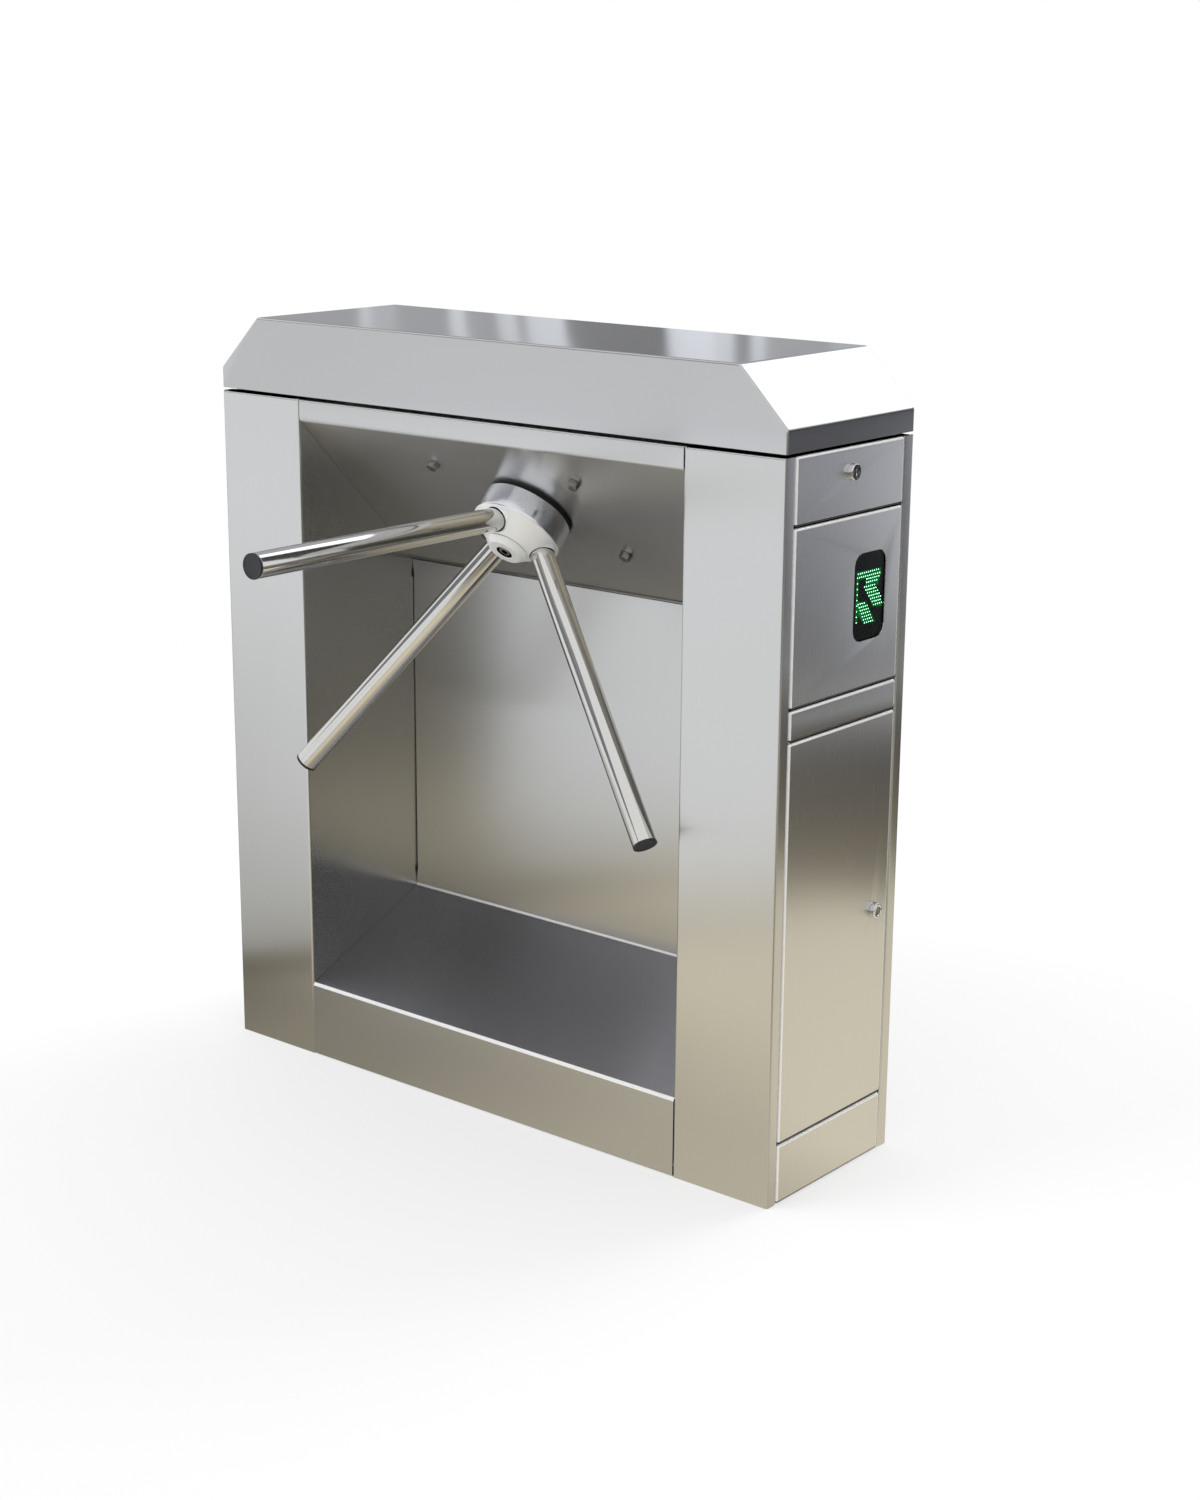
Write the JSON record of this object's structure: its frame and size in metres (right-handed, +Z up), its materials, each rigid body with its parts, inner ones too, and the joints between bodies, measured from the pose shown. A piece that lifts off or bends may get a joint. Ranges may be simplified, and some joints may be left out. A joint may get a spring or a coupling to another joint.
{
  "type": "tripod turnstile",
  "caption": "Free-standing cabinet turnstile with an open niche, a hub of arms that turns on a slanting axis, a hinged lid and doors in its ends.",
  "frame": {"origin": "middle of the base plate's underside, on the floor", "axes": "+X along the cabinet towards the right end, +Y towards the back panel with the arms on the -Y side, +Z up"},
  "size_m": [0.9236, 0.6451, 1],
  "materials": {
    "brushed_stainless": "brushed stainless steel sheet",
    "polished_stainless": "polished stainless steel tube",
    "cast_aluminium": "machined casting with a satin finish",
    "black_plastic": "moulded black plastic",
    "zinc_plate": "zinc-plated steel",
    "chromed_lock": "chromed zinc casting",
    "machined_steel": "oiled machined steel",
    "cast_housing": "painted casting",
    "black_metal": "black paint",
    "smoked_acrylic": "polished smoked acrylic",
    "green_board": "solder mask over glass-fibre board",
    "aluminium_case": "plain sheet case"
  },
  "bodies": {
    "cabinet": {"front_column_right": "brushed_stainless", "front_column_left": "brushed_stainless", "back_panel": "brushed_stainless", "mechanism_panel": "brushed_stainless", "niche_back_wall": "brushed_stainless", "plinth_panel": "brushed_stainless", "base_plate": "zinc_plate", "lock_panel_right": "brushed_stainless", "lock_panel_left": "brushed_stainless", "display_panel_right": "brushed_stainless", "display_panel_left": "brushed_stainless", "end_rail_right": "brushed_stainless", "end_rail_left": "brushed_stainless", "kick_plate_right": "brushed_stainless", "kick_plate_left": "brushed_stainless", "display_lens_right": "smoked_acrylic", "display_lens_left": "smoked_acrylic", "display_board_right": "green_board", "display_board_left": "green_board", "lid_lock_right_body": "chromed_lock", "lid_lock_left_body": "chromed_lock", "lid_hinge_right_fixed": "brushed_stainless", "lid_hinge_left_fixed": "brushed_stainless", "panel_bolt_1": "zinc_plate", "panel_bolt_2": "zinc_plate", "panel_bolt_3": "zinc_plate", "panel_bolt_4": "zinc_plate", "mounting_plate": "machined_steel", "bearing_housing": "cast_housing", "front_bearing": "machined_steel", "rear_bearing": "machined_steel", "gear_motor": "black_metal", "brake_coil": "black_metal", "position_sensor": "black_plastic", "control_board": "green_board", "power_supply": "aluminium_case"},
    "tripod": {"hub": "cast_aluminium", "hub_cap": "cast_aluminium", "arm_1": "polished_stainless", "arm_2": "polished_stainless", "arm_3": "polished_stainless", "arm_cap_1": "black_plastic", "arm_cap_2": "black_plastic", "arm_cap_3": "black_plastic", "main_shaft": "machined_steel", "main_gear": "machined_steel", "brake_rotor": "machined_steel", "encoder_disc": "black_metal"},
    "pinion": {"motor_pinion": "machined_steel"},
    "lid": {"lid": "brushed_stainless", "lid_hinge_right_moving": "brushed_stainless", "lid_hinge_left_moving": "brushed_stainless"},
    "door_right": {"door_right": "brushed_stainless", "door_lock_right_body": "chromed_lock"},
    "door_left": {"door_left": "brushed_stainless", "door_lock_left_body": "chromed_lock"},
    "door_plug_right": {"door_lock_right_cam": "zinc_plate"},
    "door_plug_left": {"door_lock_left_cam": "zinc_plate"},
    "lid_plug_right": {"lid_lock_right_cam": "zinc_plate"},
    "lid_plug_left": {"lid_lock_left_cam": "zinc_plate"}
  },
  "joints": [
    {"name": "hub_spin", "type": "hinge", "parent": "cabinet", "child": "tripod", "pos_m": [0, -0.03637, 0.78187], "axis": [0, -0.7071, -0.7071], "continuous": true},
    {"name": "pinion_spin", "type": "hinge", "parent": "cabinet", "child": "pinion", "pos_m": [0.072, -0.03637, 0.78187], "axis": [0, -0.7071, -0.7071], "continuous": true},
    {"name": "lid_opening", "type": "hinge", "parent": "cabinet", "child": "lid", "pos_m": [0, 0.1335, 0.903], "axis": [-1, 0, 0], "range_deg": [0, 85]},
    {"name": "door_right_opening", "type": "hinge", "parent": "cabinet", "child": "door_right", "pos_m": [0.449, -0.103, 0.077], "axis": [0, 0, -1], "range_deg": [0, 95]},
    {"name": "door_left_opening", "type": "hinge", "parent": "cabinet", "child": "door_left", "pos_m": [-0.449, -0.103, 0.077], "axis": [0, 0, 1], "range_deg": [0, 95]},
    {"name": "door_right_lock_turn", "type": "hinge", "parent": "door_right", "child": "door_plug_right", "pos_m": [0.455, 0.08, 0.32425], "axis": [1, 0, 0], "range_deg": [0, 90]},
    {"name": "door_left_lock_turn", "type": "hinge", "parent": "door_left", "child": "door_plug_left", "pos_m": [-0.455, 0.08, 0.32425], "axis": [1, 0, 0], "range_deg": [0, 90]},
    {"name": "lid_right_lock_turn", "type": "hinge", "parent": "cabinet", "child": "lid_plug_right", "pos_m": [0.455, 0, 0.872], "axis": [-1, 0, 0], "range_deg": [0, 90]},
    {"name": "lid_left_lock_turn", "type": "hinge", "parent": "cabinet", "child": "lid_plug_left", "pos_m": [-0.455, 0, 0.872], "axis": [-1, 0, 0], "range_deg": [0, 90]}
  ],
  "couplings": [
    {"joint": "pinion_spin", "follows": "hub_spin", "ratio": -3}
  ]
}
